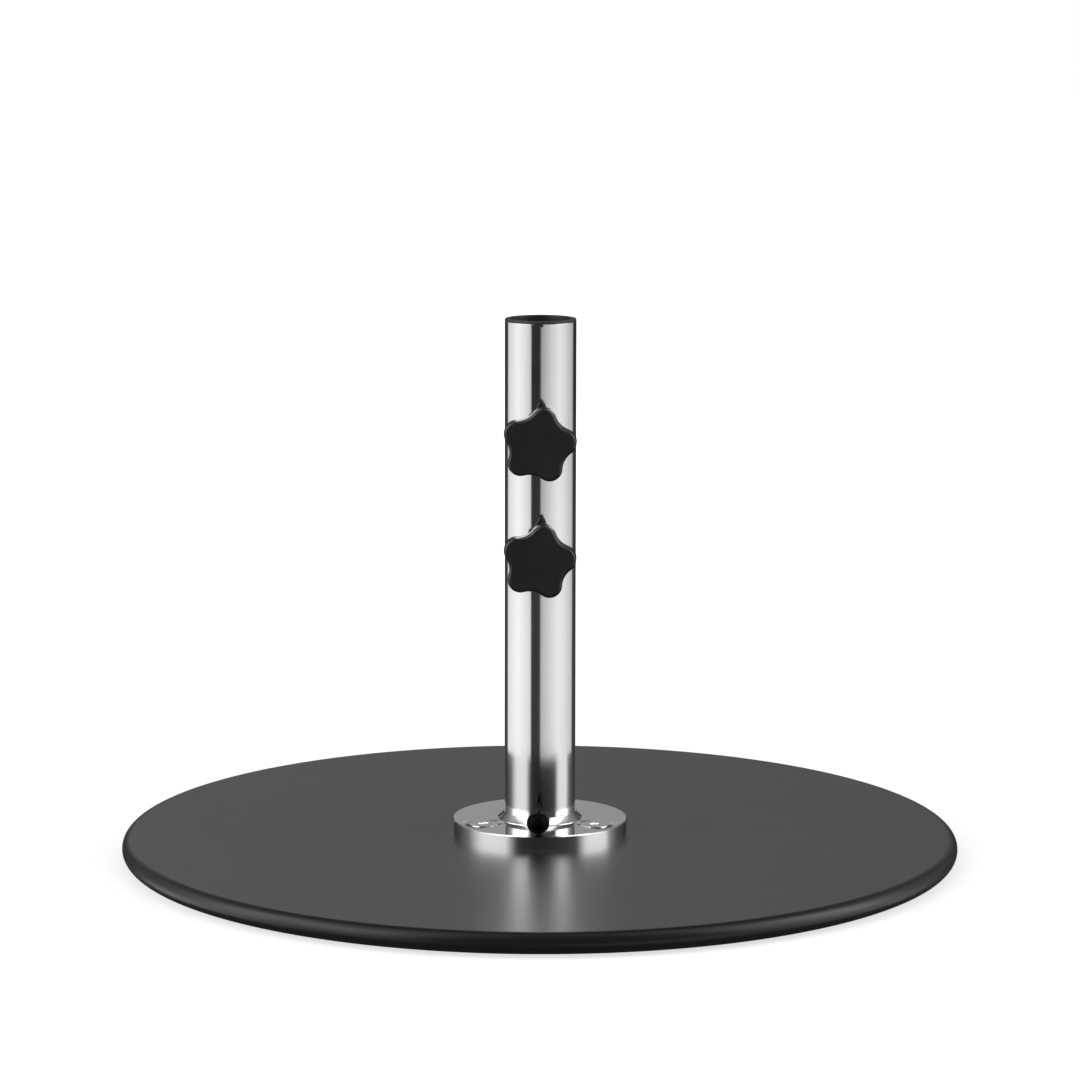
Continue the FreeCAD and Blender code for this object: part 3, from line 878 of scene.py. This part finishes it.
# Brightness of the studio by direction, as (degrees, brightness) from the front, negative to the left of the
# camera. Polished steel shows the low ring at the tube's foot and the middle ring at its top. The high ring
# holds the two soft side panels, and a pale sheet hangs behind.
LOW_RING = (
    (-180, 0.05), (-135, 0.05), (-127, 0.86), (-100, 0.99), (-77, 1.08), (-53, 0.95), (-31.5, 0.8),
    (-29, 0.048), (-2, 0.048), (3, 0.54), (20, 0.68), (48, 0.89), (63, 0.96), (88, 0.83), (120, 0.64),
    (130, 0.05), (180, 0.05),
)
MIDDLE_RING = (
    (-180, 0.035), (-133, 0.035), (-124, 0.74), (-109, 0.82), (-78, 1.02), (-60, 0.9), (-31.5, 0.63),
    (-29, 0.024), (-1, 0.024), (3.5, 0.36), (20, 0.52), (40, 0.72), (65, 0.88), (85, 0.76), (104, 0.6),
    (124, 0.47), (132, 0.03), (180, 0.03),
)
HIGH_RING = (
    (-180, 0.04), (-150, 0.06), (-130, 0.15), (-108, 0.4), (-92, 1.6), (-82, 2.4), (-46, 2.4),
    (-38, 0.9), (-31, 0.02), (0, 0.02), (50, 0.08), (58, 1.4), (64, 2.4), (96, 2.4), (104, 0.7), (120, 0.2),
    (150, 0.06), (180, 0.04),
)
RING_SCALE = 3.0
PANEL_GAIN = 0.45
CEILING_LOSS = 0.85
SHEET_BRIGHTNESS = 0.275
SHEET_GAIN = 0.14
SHEET_TILT = -1.0
GROUND_BRIGHTNESS = 0.03

# Where one part of the studio gives way to the next, as the height of a direction of length 1
GROUND_EDGE = (-0.5, -0.35)
LOW_TO_MIDDLE = (-0.21, -0.09)
MIDDLE_TO_HIGH = (-0.08, 0.06)
PANELS_BRIGHTEN = (0.2, 0.5)
PANELS_END = (0.65, 0.9)
SHEET_EDGE = (0.14, 0.19)
SHEET_BRIGHTENS = (0.24, 0.4)
# How far behind a direction has to point before it meets the sheet
SHEET_SIDES = (0.84, 0.935)


def make_world():
    """A studio of soft panels: bright at both sides, dim in front and behind, white to the eye."""
    world = bpy.data.worlds.new("studio")
    bpy.context.scene.world = world
    world.use_nodes = True
    tree = world.node_tree
    tree.nodes.clear()
    links = tree.links

    def calculate(operation, *values):
        node = tree.nodes.new("ShaderNodeMath")
        node.operation = operation
        for socket, value in zip(node.inputs, values):
            if isinstance(value, (int, float)):
                socket.default_value = value
            else:
                links.new(value, socket)
        return node.outputs[0]

    def rise(source, limits, top=1.0):
        """0 where the source is at the first limit, top where it is at the second, and smooth between."""
        node = tree.nodes.new("ShaderNodeMapRange")
        node.interpolation_type = "SMOOTHSTEP"
        node.inputs["From Min"].default_value = limits[0]
        node.inputs["From Max"].default_value = limits[1]
        node.inputs["To Max"].default_value = top
        links.new(source, node.inputs["Value"])
        return node.outputs["Result"]

    def blend(below, above, share):
        kept = calculate("MULTIPLY", below, calculate("SUBTRACT", 1.0, share))
        return calculate("ADD", kept, calculate("MULTIPLY", above, share))

    def ring(stops):
        node = tree.nodes.new("ShaderNodeValToRGB")
        elements = node.color_ramp.elements
        while len(elements) < len(stops):
            elements.new(0.5)
        for element, (degrees, brightness) in zip(elements, stops):
            grey = brightness / RING_SCALE
            element.position = (degrees + 180) / 360
            element.color = (grey, grey, grey, 1)
        links.new(turn_share, node.inputs["Fac"])
        return calculate("MULTIPLY", node.outputs["Color"], RING_SCALE)

    coordinates = tree.nodes.new("ShaderNodeTexCoord")
    turn = tree.nodes.new("ShaderNodeVectorRotate")
    turn.rotation_type = "Z_AXIS"
    turn.inputs["Angle"].default_value = -CAMERA_AZIMUTH
    links.new(coordinates.outputs["Generated"], turn.inputs["Vector"])
    split = tree.nodes.new("ShaderNodeSeparateXYZ")
    links.new(turn.outputs["Vector"], split.inputs["Vector"])
    angle = calculate("ARCTAN2", split.outputs["X"], calculate("MULTIPLY", split.outputs["Y"], -1.0))
    turn_share = calculate("ADD", calculate("DIVIDE", angle, 2 * math.pi), 0.5)

    height = split.outputs["Z"]
    low = blend(ring(LOW_RING), ring(MIDDLE_RING), rise(height, LOW_TO_MIDDLE))
    gain = calculate("ADD", 1.0, rise(height, PANELS_BRIGHTEN, PANEL_GAIN))
    gain = calculate("SUBTRACT", gain, rise(height, PANELS_END, CEILING_LOSS))
    panels = calculate("MULTIPLY", ring(HIGH_RING), gain)
    sides = blend(low, panels, rise(height, MIDDLE_TO_HIGH))
    behind = rise(split.outputs["Y"], SHEET_SIDES)
    sheet_share = calculate("MULTIPLY", behind, rise(height, SHEET_EDGE))
    sheet_light = calculate("ADD", SHEET_BRIGHTNESS, rise(height, SHEET_BRIGHTENS, SHEET_GAIN))
    tilt = calculate("ADD", 1.0, calculate("MULTIPLY", split.outputs["X"], SHEET_TILT))
    sheet = calculate("MULTIPLY", calculate("MULTIPLY", sheet_share, sheet_light), tilt)
    strength = blend(GROUND_BRIGHTNESS, calculate("ADD", sides, sheet), rise(height, GROUND_EDGE))
    lit = tree.nodes.new("ShaderNodeBackground")
    lit.inputs["Color"].default_value = (1, 1, 1, 1)
    links.new(strength, lit.inputs["Strength"])
    seen = tree.nodes.new("ShaderNodeBackground")
    seen.inputs["Color"].default_value = (1, 1, 1, 1)
    path = tree.nodes.new("ShaderNodeLightPath")
    mix = tree.nodes.new("ShaderNodeMixShader")
    links.new(path.outputs["Is Camera Ray"], mix.inputs["Fac"])
    links.new(lit.outputs["Background"], mix.inputs[1])
    links.new(seen.outputs["Background"], mix.inputs[2])
    output = tree.nodes.new("ShaderNodeOutputWorld")
    links.new(mix.outputs["Shader"], output.inputs["Surface"])


def make_camera():
    """The camera, in front of the base and a little above it."""
    data = bpy.data.cameras.new("camera")
    data.lens = CAMERA_LENS
    data.sensor_width = CAMERA_SENSOR
    data.shift_x = CAMERA_SHIFT
    data.clip_start = 0.05
    data.clip_end = 100
    camera = bpy.data.objects.new("camera", data)
    bpy.context.scene.collection.objects.link(camera)
    across = math.sin(CAMERA_AZIMUTH) * CAMERA_DISTANCE
    along = -math.cos(CAMERA_AZIMUTH) * CAMERA_DISTANCE
    camera.location = (across, along, CAMERA_HEIGHT)
    turn = Matrix.Rotation(CAMERA_AZIMUTH, 3, "Z") @ Matrix.Rotation(math.pi / 2 - CAMERA_PITCH, 3, "X")
    camera.rotation_euler = (turn @ Matrix.Rotation(CAMERA_ROLL, 3, "Z")).to_euler()
    bpy.context.scene.camera = camera


OVERHEAD_SIZE = 2.4
OVERHEAD_HEIGHT = 2.6
OVERHEAD_WATTS = 28


def make_lights():
    """A broad soft panel overhead that lights the floor and the upper faces."""
    data = bpy.data.lights.new("overhead_panel", "AREA")
    data.shape = "RECTANGLE"
    data.size = OVERHEAD_SIZE
    data.size_y = OVERHEAD_SIZE
    data.energy = OVERHEAD_WATTS
    lamp = bpy.data.objects.new("overhead_panel", data)
    lamp.location = (0, 0, OVERHEAD_HEIGHT)
    lamp.visible_glossy = False
    bpy.context.scene.collection.objects.link(lamp)


make_camera()
make_world()
make_lights()
make_floor()
make_plate()
make_pads()
make_flange()
make_flange_screws()
make_tube()
make_weld()
make_liner()
for clamp in CLAMP_PLACES:
    make_knob(clamp)
    make_stud(clamp)
make_ball()
make_ball_stud()
finish_cad_nodes()
bpy.context.scene.view_settings.view_transform = "Standard"
